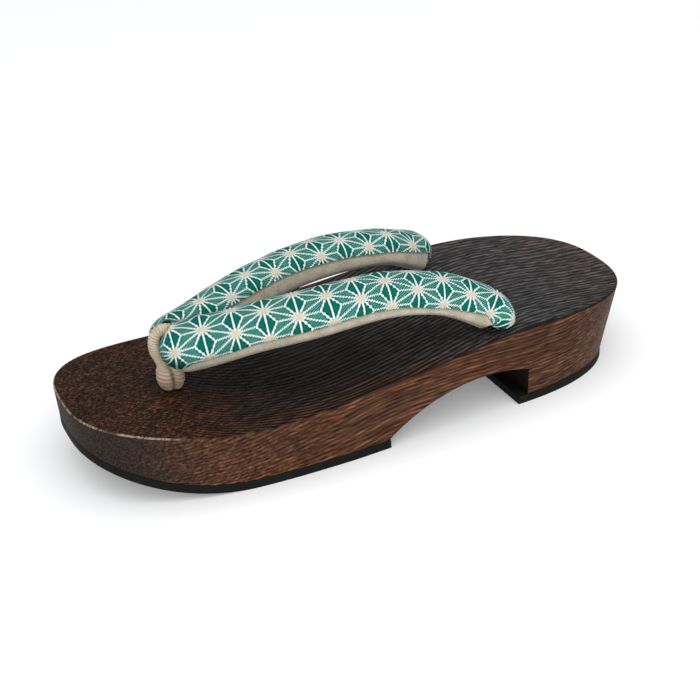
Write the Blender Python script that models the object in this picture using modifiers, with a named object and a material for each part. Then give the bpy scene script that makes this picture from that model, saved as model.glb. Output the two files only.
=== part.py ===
# Geta sandal: one carved wooden base on two rubber pads, with padded straps and a front thong.
# Frame: +Y to the toe, +X to the wearer's right, +Z up. The origin is on the floor under the
# middle of the base. Units are metres.

import math

import bmesh
import bpy
import numpy as np
from mathutils import Vector

# Clearances
seat_gap = 0.0003          # between pieces that touch
hole_clearance = 0.0004    # round a cord in its hole

# Working sizes
cut_margin = 0.025         # how far a cutter reaches past the base
weld_distance = 0.000001   # points closer than this are one point
sharp_angle = 40           # degrees
bevel_angle = 50

# Plan of the base
base_length = 0.240
ball_half_width = 0.0474
heel_half_width = 0.0442
toe_cap_length = 0.0988
toe_cap_power = 2.8
heel_cap_length = 0.0698
heel_cap_power = 2.6
side_lean = 0.0010         # how far the walls draw in between the top edge and the floor
toe_lean = 0.0006
heel_lean = 0.0070
cap_steps = 17
waist_steps = 7

# Side view of the base
base_height = 0.0347
pad_thickness = 0.0038
toe_spring = 0.0175
toe_spring_length = 0.060
rim_round = 0.0011

# Height of the top face from the toe to the heel: run is a share of the base length, and
# height is a share of the base height.
top_rows = [
    # run, height
    (0.00, 0.94),
    (0.25, 0.723),
    (0.50, 0.842),
    (0.73, 1.00),
    (1.00, 0.943),
]

# Arch under the waist: one round sweep from the forefoot to the front wall of the heel
arch_radius = 0.0713
arch_crest_from_toe = 0.1575
arch_crest_height = 0.0187
heel_wall_from_toe = 0.1785
arch_steps = 26

# Pads
forefoot_pad_end_from_toe = 0.1146
heel_pad_start_from_toe = 0.1742
forefoot_pad_round = 0.0005
heel_pad_round = 0.0009

# Holes for the cords
front_hole_from_toe = 0.0430
front_hole_depth = 0.0130
rear_hole_from_toe = 0.1680
rear_hole_half_spacing = 0.0350
rear_hole_depth = 0.0115
hole_sides = 28

# Straps
strap_width = 0.0212
strap_dome = 0.0076        # above the seam with the lining
strap_lining = 0.0056      # below it
lining_fullness = 0.75     # 1 is a plain ellipse, and less is flatter underneath
strap_step = 0.0006        # the cloth stands this far over the lining
strap_rise = 0.0255        # highest seam line over the base
strap_nose_from_toe = 0.0385
strap_nose_length = 0.0085
strap_tail_radius = 0.0028
strap_tail_length = 0.0085
strap_sections = 38
crowding = 0.5             # how much closer the strap's sections lie at its ends
middle_points = 300        # points on the strap's middle line
direction_step = 0.001     # the line's direction is taken over this far on both sides
tail_sides = 16
dome_steps = 12
lining_steps = 7
flat_steps = 40

# Sections of one strap from its nose to where it goes down to the rear hole: back is a share
# of the way from the nose to the hole, spread a share of the rear holes' half spacing, rise a
# share of the strap's rise over the base, tilt the slope of the section towards the outside in
# degrees, and width and depth shares of the strap's own sizes.
strap_rows = [
    # back, spread, rise, tilt, width, depth
    (0.000, 0.120, 0.70, 36, 0.90, 1.06),
    (0.110, 0.195, 0.79, 24, 0.96, 1.03),
    (0.265, 0.365, 0.95, 15, 1.00, 1.00),
    (0.450, 0.548, 1.00, 15, 1.00, 1.00),
    (0.660, 0.630, 0.94, 10, 1.00, 1.00),
    (0.822, 0.700, 0.71, 11, 1.00, 1.00),
    (0.935, 0.830, 0.43, 10, 0.98, 0.95),
    (0.990, 0.970, 0.20, 8, 0.90, 0.87),
    (1.000, 1.010, -0.14, 6, 0.80, 0.80),
]

# Front thong
thong_radius = 0.0024
thong_half_gap = 0.0027    # from the hole's middle to each leg's middle, where they enter it
thong_height = 0.0245      # highest point of the cord's middle over the base
thong_leg_length = 0.0090
thong_points = 44
cord_resolution = 4

# The thong's route from the front leg over the straps to the rear leg: ahead is a share of
# the legs' half gap, up a share of the thong's height, and thickness a share of its radius.
thong_rows = [
    # ahead, up, thickness
    (1.00, 0.03, 0.90),
    (1.15, 0.14, 1.11),
    (1.22, 0.24, 1.18),
    (1.14, 0.37, 1.10),
    (1.20, 0.48, 1.00),
    (1.60, 0.64, 1.00),
    (1.66, 0.81, 1.00),
    (1.25, 0.95, 1.00),
    (0.10, 1.00, 1.00),
    (-1.35, 0.93, 1.00),
    (-2.05, 0.78, 1.00),
    (-2.10, 0.62, 1.00),
    (-1.60, 0.47, 1.00),
    (-1.22, 0.36, 1.10),
    (-1.20, 0.24, 1.18),
    (-1.15, 0.14, 1.11),
    (-1.00, 0.03, 0.90),
]


def clear_scene():
    for obj in list(bpy.data.objects):
        bpy.data.objects.remove(obj, do_unlink=True)


def new_collection(name):
    collection = bpy.data.collections.new(name)
    bpy.context.scene.collection.children.link(collection)
    return collection


def new_material(name, colour, roughness):
    material = bpy.data.materials.new(name)
    material.use_nodes = True
    shader = material.node_tree.nodes["Principled BSDF"]
    shader.inputs["Base Color"].default_value = (*colour, 1.0)
    shader.inputs["Roughness"].default_value = roughness
    shader.inputs["Metallic"].default_value = 0.0
    material.diffuse_color = (*colour, 1.0)
    return material


def add_mesh(name, bm, collection, material=None):
    bmesh.ops.recalc_face_normals(bm, faces=bm.faces)
    mesh = bpy.data.meshes.new(name)
    bm.to_mesh(mesh)
    bm.free()
    obj = bpy.data.objects.new(name, mesh)
    collection.objects.link(obj)
    if material:
        mesh.materials.append(material)
    return obj


def make_cutter(obj):
    obj.hide_render = True
    obj.display_type = "WIRE"
    return obj


def add_boolean(obj, other, operation):
    modifier = obj.modifiers.new(operation.lower() + " " + other.name, "BOOLEAN")
    modifier.operation = operation
    modifier.object = other


def add_bevel(obj, width, segments):
    modifier = obj.modifiers.new("rounded edges", "BEVEL")
    modifier.width = width
    modifier.segments = segments
    modifier.limit_method = "ANGLE"
    modifier.angle_limit = math.radians(bevel_angle)


def shade_round(obj):
    obj.data.shade_smooth()
    obj.data.set_sharp_from_angle(angle=math.radians(sharp_angle))


def smooth_through(rows, at):
    # Values of every column at the places given, on a smooth curve through the table's rows.
    # The first column is the place, and it grows from row to row.
    table = np.array(rows, float)
    place, values = table[:, 0], table[:, 1:]
    slope = np.gradient(values, place, axis=0)
    at = np.clip(np.atleast_1d(at), place[0], place[-1])
    low = np.clip(np.searchsorted(place, at, side="right") - 1, 0, len(place) - 2)
    span = (place[low + 1] - place[low])[:, None]
    t = ((at - place[low]) / span[:, 0])[:, None]
    start = (2 * t**3 - 3 * t**2 + 1) * values[low] + (t**3 - 2 * t**2 + t) * span * slope[low]
    end = (3 * t**2 - 2 * t**3) * values[low + 1] + (t**3 - t**2) * span * slope[low + 1]
    return start + end


def y_from_toe(distance):
    return base_length / 2 - distance


def top_z(y):
    run = (base_length / 2 - y) / base_length
    return float(smooth_through(top_rows, run)[0, 0]) * base_height


def spring_z(y):
    # Rise of the underside towards the toe
    into = max(0.0, toe_spring_length - (base_length / 2 - y)) / toe_spring_length
    return toe_spring * into**2


def half_outline(draw_in):
    # Right half of the plan from the toe's tip to the heel's tip. draw_in is 0 for the top
    # edge and 1 for the outline at the floor.
    ball = ball_half_width - side_lean * draw_in
    heel = heel_half_width - side_lean * draw_in
    toe_y = base_length / 2 - toe_lean * draw_in
    heel_y = -base_length / 2 + heel_lean * draw_in
    toe_centre = toe_y - toe_cap_length
    heel_centre = heel_y + heel_cap_length
    points = []
    for step in range(cap_steps + 1):
        angle = math.pi / 2 * step / cap_steps
        x = ball * math.sin(angle) ** (2 / toe_cap_power)
        y = toe_centre + toe_cap_length * max(0.0, math.cos(angle)) ** (2 / toe_cap_power)
        points.append((x, y))
    for step in range(1, waist_steps):
        share = step / waist_steps
        points.append((ball + (heel - ball) * share, toe_centre + (heel_centre - toe_centre) * share))
    for step in range(cap_steps + 1):
        angle = math.pi / 2 * step / cap_steps
        x = heel * max(0.0, math.cos(angle)) ** (2 / heel_cap_power)
        y = heel_centre - heel_cap_length * math.sin(angle) ** (2 / heel_cap_power)
        points.append((x, y))
    return points


def clipped(points, y_low, y_high):
    # The part of a half outline between two places along Y, cut square at them
    xs = np.array([p[0] for p in points])[::-1]
    ys = np.array([p[1] for p in points])[::-1]
    kept = [p for p in points if y_low < p[1] < y_high]
    if points[0][1] > y_high:
        kept.insert(0, (float(np.interp(y_high, ys, xs)), y_high))
    if points[-1][1] < y_low:
        kept.append((float(np.interp(y_low, ys, xs)), y_low))
    return kept


def block_between(lower, upper):
    # A solid between two half outlines of as many points, each a list of (x, y, z), mirrored
    # over the plane x = 0. An end at x = 0 is a tip, and any other end is cut square.
    bm = bmesh.new()
    stations = []
    for low, high in zip(lower, upper):
        if high[0] < weld_distance:
            bottom = bm.verts.new((0, low[1], low[2]))
            top = bm.verts.new((0, high[1], high[2]))
            stations.append((bottom, bottom, top, top))
        else:
            stations.append((
                bm.verts.new((-low[0], low[1], low[2])),
                bm.verts.new((low[0], low[1], low[2])),
                bm.verts.new((high[0], high[1], high[2])),
                bm.verts.new((-high[0], high[1], high[2])),
            ))
    for first, second in zip(stations, stations[1:]):
        for corner in range(4):
            other = (corner + 1) % 4
            face = [first[corner], first[other], second[other], second[corner]]
            face = list(dict.fromkeys(face))
            if len(face) > 2:
                bm.faces.new(face)
    for end in (stations[0], stations[-1]):
        if len(set(end)) == 4:
            bm.faces.new(end)
    return bm


def prism_across(name, profile, collection):
    # A profile in Y and Z, drawn out along X past both sides of the base
    half_width = ball_half_width + cut_margin
    bm = bmesh.new()
    left = [bm.verts.new((-half_width, y, z)) for y, z in profile]
    right = [bm.verts.new((half_width, y, z)) for y, z in profile]
    bm.faces.new(left)
    bm.faces.new(right)
    count = len(profile)
    for i in range(count):
        j = (i + 1) % count
        bm.faces.new((left[i], left[j], right[j], right[i]))
    return make_cutter(add_mesh(name, bm, collection))


def cylinder(name, radius, bottom, top, x, y, collection, sides):
    bm = bmesh.new()
    bmesh.ops.create_cone(bm, cap_ends=True, segments=sides, radius1=radius, radius2=radius,
                          depth=top - bottom)
    bmesh.ops.translate(bm, verts=bm.verts, vec=(x, y, (bottom + top) / 2))
    return make_cutter(add_mesh(name, bm, collection))


def front_hole_y():
    return y_from_toe(front_hole_from_toe)


def rear_hole_y():
    return y_from_toe(rear_hole_from_toe)


def front_hole_radius():
    return thong_half_gap + thong_radius * thong_rows[0][2] + hole_clearance


def make_base(parts, cutters, wood):
    top = [(x, y, top_z(y)) for x, y in half_outline(0)]
    bottom = [(x, y, pad_thickness + spring_z(y)) for x, y in half_outline(1)]
    base = add_mesh("wooden_base", block_between(bottom, top), parts, wood)
    add_bevel(base, rim_round, 2)

    # Waist and the front wall of the heel
    crest_y = y_from_toe(arch_crest_from_toe)
    wall_y = y_from_toe(heel_wall_from_toe)
    below = -pad_thickness
    centre_z = arch_crest_height - arch_radius
    start_angle = math.acos((below - centre_z) / arch_radius)
    end_angle = -math.asin((crest_y - wall_y) / arch_radius)
    profile = []
    for step in range(arch_steps + 1):
        angle = start_angle + (end_angle - start_angle) * step / arch_steps
        profile.append((crest_y + arch_radius * math.sin(angle),
                        centre_z + arch_radius * math.cos(angle)))
    profile.append((wall_y, below))
    add_boolean(base, prism_across("waist_cutter", profile, cutters), "DIFFERENCE")

    # Holes for the cords
    hole_y = front_hole_y()
    above = base_height + cut_margin
    hole = cylinder("front_hole_cutter", front_hole_radius(), top_z(hole_y) - front_hole_depth, above,
                    0, hole_y, cutters, hole_sides)
    add_boolean(base, hole, "DIFFERENCE")
    hole_y = rear_hole_y()
    for side, name in ((-1, "left"), (1, "right")):
        hole = cylinder(name + "_hole_cutter", strap_tail_radius + hole_clearance,
                        top_z(hole_y) - rear_hole_depth, above,
                        side * rear_hole_half_spacing, hole_y, cutters, hole_sides)
        add_boolean(base, hole, "DIFFERENCE")
    shade_round(base)


def make_pad(name, y_low, y_high, edge_round, parts, rubber):
    outline = clipped(half_outline(1), y_low, y_high)
    lower = [(x, y, spring_z(y)) for x, y in outline]
    upper = [(x, y, spring_z(y) + pad_thickness - seat_gap) for x, y in outline]
    pad = add_mesh(name, block_between(lower, upper), parts, rubber)
    add_bevel(pad, edge_round, 1)
    shade_round(pad)


def strap_ring(width, depth):
    # Section of a strap: across is positive to the outside, up is positive to the crown. The
    # cloth is a dome from edge to edge, and the lining below it starts a step further in.
    half = strap_width * width / 2
    dome = strap_dome * depth
    lining = strap_lining * depth
    ring = []
    for step in range(dome_steps + 1):
        angle = math.pi * step / dome_steps
        ring.append((half * math.cos(angle), dome * math.sin(angle)))
    for step in range(lining_steps + 1):
        angle = math.pi * (1 + step / lining_steps)
        flat = abs(math.sin(angle)) ** lining_fullness
        ring.append(((half - strap_step) * math.cos(angle), -lining * flat - strap_step / 2))
    return ring


def strap_frames():
    # Middle, across, crown, width, depth and swell of each section of the right strap. Swell
    # grows from 0 to 1 over the round nose.
    nose_y = y_from_toe(strap_nose_from_toe)
    rows = [(i,) + row for i, row in enumerate(strap_rows)]
    columns = smooth_through(rows, np.linspace(0, len(rows) - 1, middle_points))
    y = nose_y + (rear_hole_y() - nose_y) * columns[:, 0]
    x = columns[:, 1] * rear_hole_half_spacing
    z = np.array([top_z(v) for v in y]) + columns[:, 2] * strap_rise
    middle = np.stack([x, y, z], axis=1)
    steps = np.linalg.norm(np.diff(middle, axis=0), axis=1)
    along = np.concatenate([[0], np.cumsum(steps)])
    length = along[-1]

    # Sections lie closer together at the round nose and at the bend down to the hole
    share = np.linspace(0, math.pi, strap_sections)
    place = length * (crowding * (1 - np.cos(share)) / 2 + (1 - crowding) * share / math.pi)
    frames = []
    for at in place:
        centre, ahead, behind = (
            Vector([float(np.interp(at + step, along, middle[:, k])) for k in range(3)])
            for step in (0, direction_step, -direction_step))
        run = (ahead - behind).normalized()
        tilt, width, depth = (float(np.interp(at, along, columns[:, k])) for k in (3, 4, 5))
        outward = Vector((1, 0, 0))
        outward = (outward - run * outward.dot(run)).normalized()
        upward = run.cross(outward)
        angle = math.radians(tilt)
        across = outward * math.cos(angle) - upward * math.sin(angle)
        crown = upward * math.cos(angle) + outward * math.sin(angle)
        to_nose = min(1.0, at / strap_nose_length)
        swell = math.sqrt(1 - (1 - to_nose) ** 2)
        frames.append((centre, across, crown, width, depth, swell))
    return frames


def strap_side(name, side, collection, cloth):
    # One whole strap. side is 1 for the wearer's right and -1 for the left.
    bm = bmesh.new()
    rings = []
    for centre, across, crown, width, depth, swell in strap_frames():
        if swell == 0:
            rings.append([bm.verts.new(centre)])
            continue
        ring = [bm.verts.new(centre + (across * a + crown * b) * swell)
                for a, b in strap_ring(width, depth)]
        rings.append(ring)
    for first, second in zip(rings, rings[1:]):
        count = len(second)
        for i in range(count):
            j = (i + 1) % count
            if len(first) == 1:
                bm.faces.new((first[0], second[j], second[i]))
            else:
                bm.faces.new((first[i], first[j], second[j], second[i]))
    bm.faces.new(rings[-1])
    for vert in bm.verts:
        vert.co.x *= side
    return add_mesh(name, bm, collection, cloth)


def make_strap(parts, cutters, cloth):
    strap = strap_side("strap_upper", 1, parts, cloth)
    add_boolean(strap, make_cutter(strap_side("left_strap", -1, cutters, cloth)), "UNION")

    # The ends are pressed flat on the top of the base
    hole_y = rear_hole_y()
    reach = np.linspace(hole_y - 2 * strap_width, hole_y + 2 * strap_width, flat_steps)
    profile = [(y, top_z(y) + seat_gap) for y in reach]
    profile += [(reach[-1], 0), (reach[0], 0)]
    add_boolean(strap, prism_across("under_strap", profile, cutters), "DIFFERENCE")

    # The tails in the rear holes
    surface = top_z(hole_y)
    for side, name in ((-1, "left"), (1, "right")):
        tail = cylinder(name + "_tail", strap_tail_radius, surface - strap_tail_length,
                        surface + strap_tail_radius, side * rear_hole_half_spacing, hole_y,
                        cutters, tail_sides)
        add_boolean(strap, tail, "UNION")
    return strap


def thong_route():
    hole_y = front_hole_y()
    surface = top_z(hole_y)
    rows = [(i,) + row for i, row in enumerate(thong_rows)]
    smooth = smooth_through(rows, np.linspace(0, len(rows) - 1, thong_points))
    route = [(hole_y + ahead * thong_half_gap, surface + up * thong_height, thick)
             for ahead, up, thick in smooth]
    first, last = thong_rows[0], thong_rows[-1]
    foot_z = surface - thong_leg_length
    route.insert(0, (hole_y + first[0] * thong_half_gap, foot_z, first[2]))
    route.append((hole_y + last[0] * thong_half_gap, foot_z, last[2]))
    return route


def make_tube(name, radius, collection):
    # The cord as a curve along its route, made a mesh with closed ends
    route = thong_route()
    curve = bpy.data.curves.new(name, "CURVE")
    curve.dimensions = "3D"
    curve.bevel_depth = 1.0
    curve.bevel_resolution = cord_resolution
    curve.use_fill_caps = True
    spline = curve.splines.new("POLY")
    spline.points.add(len(route) - 1)
    for point, (y, z, thick) in zip(spline.points, route):
        point.co = (0, y, z, 1)
        point.radius = radius(thick)
    source = bpy.data.objects.new(name + " curve", curve)
    collection.objects.link(source)
    evaluated = source.evaluated_get(bpy.context.evaluated_depsgraph_get())
    mesh = bpy.data.meshes.new_from_object(evaluated)
    matrix = source.matrix_world.copy()
    bpy.data.objects.remove(source, do_unlink=True)
    mesh.transform(matrix)
    mesh.name = name
    bm = bmesh.new()
    bm.from_mesh(mesh)
    bmesh.ops.remove_doubles(bm, verts=bm.verts, dist=weld_distance)
    bpy.data.meshes.remove(mesh)
    return bm


def make_thong(parts, cord):
    bm = make_tube("front_thong", lambda thick: thong_radius * thick, parts)
    shade_round(add_mesh("front_thong", bm, parts, cord))


def seat_thong_in_strap(strap, cutters):
    # The cord presses a groove into the padded straps where it passes over them
    bm = make_tube("thong_groove", lambda thick: thong_radius * thick + seat_gap, cutters)
    groove = make_cutter(add_mesh("thong_groove", bm, cutters))
    add_boolean(strap, groove, "DIFFERENCE")
    shade_round(strap)


def main():
    clear_scene()
    parts = new_collection("geta_sandal")
    cutters = new_collection("cutters")
    wood = new_material("dark_brushed_wood", (0.045, 0.022, 0.014), 0.35)
    rubber = new_material("black_rubber", (0.012, 0.012, 0.012), 0.85)
    cloth = new_material("strap_cloth", (0.02, 0.27, 0.22), 0.8)
    cord = new_material("cream_cord", (0.62, 0.52, 0.38), 0.85)

    make_base(parts, cutters, wood)
    make_pad("forefoot_pad", y_from_toe(forefoot_pad_end_from_toe), base_length, forefoot_pad_round,
             parts, rubber)
    make_pad("heel_pad", -base_length, y_from_toe(heel_pad_start_from_toe), heel_pad_round,
             parts, rubber)
    strap = make_strap(parts, cutters, cloth)
    make_thong(parts, cord)
    seat_thong_in_strap(strap, cutters)


main()
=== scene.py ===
# Looks of a geta sandal: brushed dark wood, black rubber pads, padded straps in hemp leaf
# cotton with a cream lining, and a ribbed cream thong. Sizes are in metres, with +Y to the
# toe, +X to the wearer's right and +Z up.

import math

import bmesh
import bpy
import numpy as np
from mathutils import Matrix, Vector, noise


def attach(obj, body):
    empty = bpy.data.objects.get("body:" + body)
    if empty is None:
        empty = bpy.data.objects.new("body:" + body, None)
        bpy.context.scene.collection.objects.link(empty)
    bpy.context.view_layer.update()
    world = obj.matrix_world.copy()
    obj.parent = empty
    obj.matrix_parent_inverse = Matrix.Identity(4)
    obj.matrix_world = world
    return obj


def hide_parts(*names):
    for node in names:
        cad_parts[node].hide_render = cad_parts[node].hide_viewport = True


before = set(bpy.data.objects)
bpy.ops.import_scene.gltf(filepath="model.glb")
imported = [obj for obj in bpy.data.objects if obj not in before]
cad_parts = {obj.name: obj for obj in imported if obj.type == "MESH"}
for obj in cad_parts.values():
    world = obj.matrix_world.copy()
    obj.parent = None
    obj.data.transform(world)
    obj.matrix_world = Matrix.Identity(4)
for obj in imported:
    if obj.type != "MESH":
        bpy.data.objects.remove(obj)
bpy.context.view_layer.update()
print("frame loaded")

tiny = 1e-9     # keeps a division by a length from failing


# Small helpers for node trees

def feed(tree, socket, value):
    # A socket takes either another node's output or a plain value
    if isinstance(value, bpy.types.NodeSocket):
        tree.links.new(value, socket)
    elif value is not None:
        socket.default_value = value


def addNode(tree, kind, inputs=None, **settings):
    # The inputs go by their names or their numbers
    node = tree.nodes.new(kind)
    for name, value in settings.items():
        setattr(node, name, value)
    for key, value in (inputs or {}).items():
        feed(tree, node.inputs[key], value)
    return node


def doMath(tree, operation, a, b=None, c=None, clamp=False):
    return addNode(tree, "ShaderNodeMath", {0: a, 1: b, 2: c}, operation=operation,
                   use_clamp=clamp).outputs[0]


def times(tree, a, b):
    return doMath(tree, "MULTIPLY", a, b)


def timesPlus(tree, a, b, c):
    return doMath(tree, "MULTIPLY_ADD", a, b, c)


def vectorMath(tree, operation, a, b):
    node = addNode(tree, "ShaderNodeVectorMath", {0: a, 1: b}, operation=operation)
    return node.outputs["Value" if operation == "DOT_PRODUCT" else "Vector"]


def scaled(tree, vector, factor):
    # A colour or a vector times a number
    inputs = {0: vector, "Scale": factor}
    return addNode(tree, "ShaderNodeVectorMath", inputs, operation="SCALE").outputs["Vector"]


def blendColours(tree, share, a, b):
    a, b = ((*colour, 1.0) if isinstance(colour, tuple) else colour for colour in (a, b))
    inputs = {"Factor": share, "A": a, "B": b}
    return addNode(tree, "ShaderNodeMix", inputs, data_type="RGBA").outputs["Result"]


def layered(tree, colour, *layers):
    # Each layer is a share and the colour that it lays over the ones before it
    for share, tone in layers:
        colour = blendColours(tree, share, colour, tone)
    return colour


def blendValues(tree, share, a, b):
    return addNode(tree, "ShaderNodeMix", {0: share, 2: a, 3: b}, data_type="FLOAT").outputs[0]


def mapRange(tree, value, low, high, toLow=0.0, toHigh=1.0, kind="SMOOTHSTEP"):
    inputs = {"Value": value, "From Min": low, "From Max": high, "To Min": toLow, "To Max": toHigh}
    return addNode(tree, "ShaderNodeMapRange", inputs, interpolation_type=kind).outputs["Result"]


def stretched(tree, vector, scale, shift=(0, 0, 0)):
    inputs = {"Vector": vector, "Scale": scale, "Location": shift}
    return addNode(tree, "ShaderNodeMapping", inputs).outputs["Vector"]


def parts(tree, vector):
    # The three parts of a vector
    return addNode(tree, "ShaderNodeSeparateXYZ", {0: vector}).outputs


def objectCoords(tree, kind="Object"):
    return addNode(tree, "ShaderNodeTexCoord").outputs[kind]


def sineWave(tree, angle):
    # A sine that runs from 0 to 1
    return timesPlus(tree, doMath(tree, "SINE", angle), 0.5, 0.5)


def wanderVector(tree, vector, scale, detail):
    # A noise vector whose parts run about zero
    node = addNode(tree, "ShaderNodeTexNoise", {"Vector": vector, "Scale": scale, "Detail": detail})
    return vectorMath(tree, "SUBTRACT", node.outputs["Color"], (0.5, 0.5, 0.5))


def noiseAt(tree, vector, scale, detail=2.0, rough=0.5, distortion=0.0):
    inputs = {"Vector": vector, "Scale": scale, "Detail": detail, "Roughness": rough,
              "Distortion": distortion}
    return addNode(tree, "ShaderNodeTexNoise", inputs).outputs["Fac"]


def colourRamp(tree, share, stops):
    node = addNode(tree, "ShaderNodeValToRGB")
    ramp = node.color_ramp
    while len(ramp.elements) < len(stops):
        ramp.elements.new(0.5)
    for element, (place, colour) in zip(ramp.elements, stops):
        element.position = place
        element.color = (*colour, 1.0)
    feed(tree, node.inputs["Fac"], share)
    return node.outputs["Color"]


def newGroup(name, inputs, outputs):
    # Inputs and outputs are lists of (name, socket kind, default)
    group = bpy.data.node_groups.new(name, "ShaderNodeTree")
    for label, kind, default in inputs:
        socket = group.interface.new_socket(name=label, in_out="INPUT", socket_type=kind)
        if default is not None:
            socket.default_value = default
    for label, kind in outputs:
        group.interface.new_socket(name=label, in_out="OUTPUT", socket_type=kind)
    return group, group.nodes.new("NodeGroupInput").outputs, group.nodes.new("NodeGroupOutput").inputs


def useGroup(tree, group, **values):
    return addNode(tree, "ShaderNodeGroup", values, node_tree=group).outputs


def newMaterial(name, roughness, **fixed):
    material = bpy.data.materials.new(name)
    material.use_nodes = True
    tree = material.node_tree
    shader = tree.nodes["Principled BSDF"]
    shader.inputs["Roughness"].default_value = roughness
    for label, value in fixed.items():
        shader.inputs[label.replace("_", " ")].default_value = value
    return material, tree, shader


def bumped(tree, shader, height):
    # The height is in metres
    node = addNode(tree, "ShaderNodeBump", {"Strength": 1.0, "Distance": 1.0, "Height": height})
    tree.links.new(node.outputs["Normal"], shader.inputs["Normal"])


# Small helpers for meshes

def smoothThrough(rows, at):
    # Values of every column at the places given, on a smooth curve through the rows. The first
    # column is the place.
    table = np.array(rows, float)
    place, values = table[:, 0], table[:, 1:]
    slope = np.gradient(values, place, axis=0)
    at = np.clip(np.atleast_1d(at), place[0], place[-1])
    low = np.clip(np.searchsorted(place, at, side="right") - 1, 0, len(place) - 2)
    span = (place[low + 1] - place[low])[:, None]
    t = ((at - place[low]) / span[:, 0])[:, None]
    start = (2 * t**3 - 3 * t**2 + 1) * values[low] + (t**3 - 2 * t**2 + t) * span * slope[low]
    end = (3 * t**2 - 2 * t**3) * values[low + 1] + (t**3 - t**2) * span * slope[low + 1]
    return start + end


def pathLength(points, axis=0):
    # Length run along lines of points, from 0 at their start
    steps = np.linalg.norm(np.diff(points, axis=axis), axis=-1)
    return np.insert(np.cumsum(steps, axis=axis), 0, 0.0, axis=axis)


def easeIn(share):
    share = np.clip(share, 0, 1)
    return share**2 * (3 - 2 * share)


def joinRows(bm, rows, closed=True):
    # Faces between each row of vertices and the next, round to the first vertex if closed
    for first, second in zip(rows, rows[1:]):
        for i in range(len(first) if closed else len(first) - 1):
            j = (i + 1) % len(first)
            corners = list(dict.fromkeys((first[i], first[j], second[j], second[i])))
            if len(corners) > 2:
                bm.faces.new(corners)


def finishPiece(name, bm, material, outward=True):
    if outward:
        bmesh.ops.recalc_face_normals(bm, faces=bm.faces)
    mesh = bpy.data.meshes.new(name)
    bm.to_mesh(mesh)
    bm.free()
    mesh.materials.append(material)
    piece = bpy.data.objects.new(name, mesh)
    bpy.context.scene.collection.objects.link(piece)
    mesh.shade_smooth()
    return piece


def smoothExceptEdges(mesh, degrees):
    mesh.shade_smooth()
    mesh.set_sharp_from_angle(angle=math.radians(degrees))


def bake(piece):
    # The piece with its modifiers applied, as a plain mesh
    depsgraph = bpy.context.evaluated_depsgraph_get()
    mesh = bpy.data.meshes.new_from_object(piece.evaluated_get(depsgraph))
    old = piece.data
    piece.modifiers.clear()
    if piece.type == "MESH":
        piece.data = mesh
        bpy.data.meshes.remove(old)
        return piece
    name = piece.name
    bpy.data.objects.remove(piece, do_unlink=True)
    fresh = bpy.data.objects.new(name, mesh)
    fresh.name = name
    bpy.context.scene.collection.objects.link(fresh)
    return fresh


def hold(piece, slotName, *nodes):
    # The piece rides on the sandal's one body and stands for the CAD nodes named
    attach(piece, "root")
    if nodes:
        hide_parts(*nodes)


# Wood

woodLook = {
    "ringPitch": 0.00128,
    "heart": (0.260, -0.360),           # x and z of the tree's heart, outside the block
    "ringWander": 0.016,                # how far the rings bulge, slowly along the block
    "ripples": (360.0, 190.0),          # small waves of the grain: across and along, per metre
    "rippleSize": (0.0003, 0.0009, 0.0016),     # in the middle, and what heel and toe add
    "wander": 0.0030,                   # how far the grain strays to the side
    "aslant": 1.6,                      # how fast it turns aslant towards the toe
    "fibre": (1150.0, 0.016),           # each pair: lines per metre, and how short they are
    "lines": (860.0, 0.008),
    "flecks": (1100.0, 0.130),
    "patches": (150.0, 0.100),
    "topDark": (0.0110, 0.0078, 0.0062),
    "topBrown": (0.053, 0.0225, 0.0105),
    # grey that paints the sky's reflection on the heel and waist
    "heelReflectionGrey": (0.0385, 0.0360, 0.0365),
    "heelBrown": (0.050, 0.032, 0.0250),
    "redCast": (1.75, 0.85, 0.75),      # what the reddish patches of the top do to its colour
    "sideDark": (0.015, 0.0070, 0.0045),
    "sideBrown": (0.060, 0.0260, 0.0130),
    "sideWarm": (0.108, 0.0475, 0.0240),
    "sideGold": (0.225, 0.120, 0.064),
    "sideCast": (1.12, 0.86, 0.80),
    # painted grey reflection on the toe's end
    "toeWallSheen": (0.031, 0.0215, 0.0180),
    "scratchShare": 0.45,               # how dark the thin seams of grain are on the sides
    # painted highlight along the rubbed rim at the toe
    "paintedRimGlint": (0.40, 0.31, 0.24),
    "shade": (0.0050, 0.0042, 0.0040),  # painted shade under the waist and on the heel's front wall; also the heel's dark rim
    "depth": (3.5, 1.9, 1.45),          # contrast of the top's grain, with its ridges lightened as a painted highlight: middle, heel and toe
    "darkest": (0.03, 0.25, 0.40),      # share of its colour left in the grooves, a painted shade there: the same
    "edgeBrown": 0.20,
    "gloss": (0.20, 0.03),              # coat in the middle and heel, and at the toe
    "rimGloss": 0.5,
    "reliefTop": 0.00062,
    "reliefSide": 0.00016,
}

woodZones = {
    # where each zone starts and where it is full, along the block or out from its middle line
    "toe": (0.050, 0.092),
    "heel": (0.012, -0.056),
    "edge": (0.024, 0.046),
    "back": (-0.078, -0.116),
    "toeWallSheen": (0.072, 0.108),
    "wornGlintToe": (0.082, 0.096),
    "glossFade": (0.010, 0.055),
    "darkRim": (0.05, -0.03),
    "behindHeel": (-0.02, -0.05),
    # and how far the face turns up
    "top": (0.60, 0.90),
    "rimLow": (0.03, 0.22),
    "wornGlintLow": (0.25, 0.50),
    "rimHigh": (0.985, 0.93),
    "underside": (-0.25, -0.6),
    "ahead": (0.6, 0.9),                # or turns to the toe
}


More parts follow.
